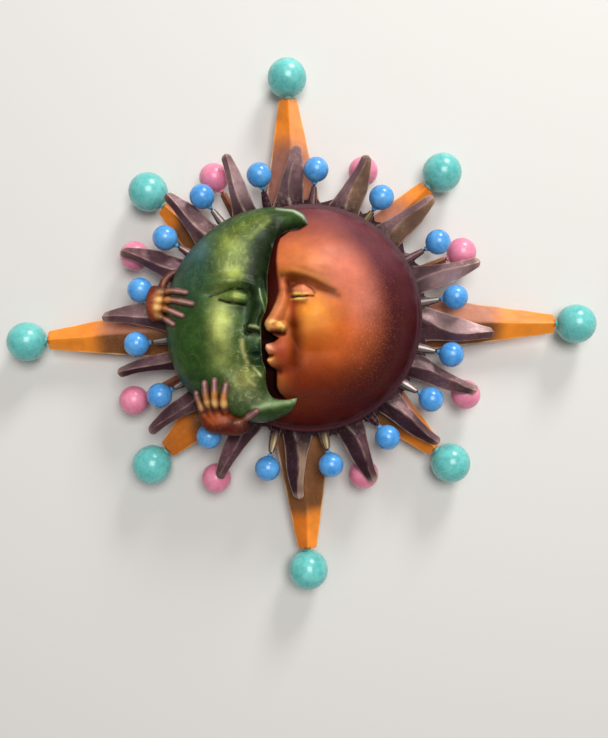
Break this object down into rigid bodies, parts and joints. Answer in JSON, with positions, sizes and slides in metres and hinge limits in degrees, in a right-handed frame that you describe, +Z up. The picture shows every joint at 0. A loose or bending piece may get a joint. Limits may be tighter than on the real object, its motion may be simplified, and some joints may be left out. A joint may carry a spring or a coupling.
{
  "type": "sun and moon wall hanging",
  "caption": "Wall hanging of a domed sun and a crescent moon that kiss, on a ring of wavy flames, with long rays tipped with painted balls and a hinged ring at the back.",
  "frame": {"origin": "centre of the back board's rear face, on the wall plane", "axes": "+X right and +Z up as seen from the front, +Y into the wall; the faces look towards -Y"},
  "size_m": [0.6023, 0.1159, 0.5436],
  "materials": {
    "plywood": "bare plywood, sanded",
    "steel": "zinc-plated",
    "plum_paint": "cast composite, dark plum paint rubbed with a paler metallic mauve",
    "sun_paint": "airbrushed orange, salmon and plum under satin varnish",
    "moon_paint": "dark green rubbed with yellow-green metallic, satin varnish",
    "hand_paint": "red-brown with golden knuckles and mauve fingertips, satin varnish",
    "orange_paint": "airbrushed from plum at the root to orange at the tip",
    "turquoise_paint": "turned wood, satin enamel",
    "pink_paint": "turned wood, satin enamel",
    "blue_paint": "turned wood, gloss enamel"
  },
  "bodies": {
    "root": {"back_board": "plywood", "hanger_strap": "steel", "hanger_screw_upper": "steel", "hanger_screw_lower": "steel", "flame_ring": "plum_paint", "sun_shell": "sun_paint", "moon_crescent": "moon_paint", "hand_upper": "hand_paint", "hand_lower": "hand_paint", "orange_ray_right": "orange_paint", "orange_ray_upper_right": "orange_paint", "orange_ray_top": "orange_paint", "orange_ray_upper_left": "orange_paint", "orange_ray_left": "orange_paint", "orange_ray_lower_left": "orange_paint", "orange_ray_bottom": "orange_paint", "orange_ray_lower_right": "orange_paint", "turquoise_ball_right": "turquoise_paint", "turquoise_ball_upper_right": "turquoise_paint", "turquoise_ball_top": "turquoise_paint", "turquoise_ball_upper_left": "turquoise_paint", "turquoise_ball_left": "turquoise_paint", "turquoise_ball_lower_left": "turquoise_paint", "turquoise_ball_bottom": "turquoise_paint", "turquoise_ball_lower_right": "turquoise_paint", "thin_ray_1": "plum_paint", "thin_ray_2": "plum_paint", "thin_ray_3": "plum_paint", "thin_ray_4": "plum_paint", "thin_ray_5": "plum_paint", "thin_ray_6": "plum_paint", "thin_ray_7": "plum_paint", "thin_ray_8": "plum_paint", "pink_ball_1": "pink_paint", "pink_ball_2": "pink_paint", "pink_ball_3": "pink_paint", "pink_ball_4": "pink_paint", "pink_ball_5": "pink_paint", "pink_ball_6": "pink_paint", "pink_ball_7": "pink_paint", "pink_ball_8": "pink_paint", "blue_ball_1": "blue_paint", "blue_ball_2": "blue_paint", "blue_ball_3": "blue_paint", "blue_ball_4": "blue_paint", "blue_ball_5": "blue_paint", "blue_ball_6": "blue_paint", "blue_ball_7": "blue_paint", "blue_ball_8": "blue_paint", "blue_ball_9": "blue_paint", "blue_ball_10": "blue_paint", "blue_ball_11": "blue_paint", "blue_ball_12": "blue_paint", "blue_ball_13": "blue_paint", "blue_ball_14": "blue_paint", "blue_ball_15": "blue_paint", "blue_ball_16": "blue_paint"},
    "ring": {"hanging_ring": "steel"}
  },
  "joints": [
    {"name": "ring_swing", "type": "hinge", "parent": "root", "child": "ring", "pos_m": [0, -0.0048, 0.056], "axis": [1, 0, 0], "range_deg": [0, 180]}
  ]
}
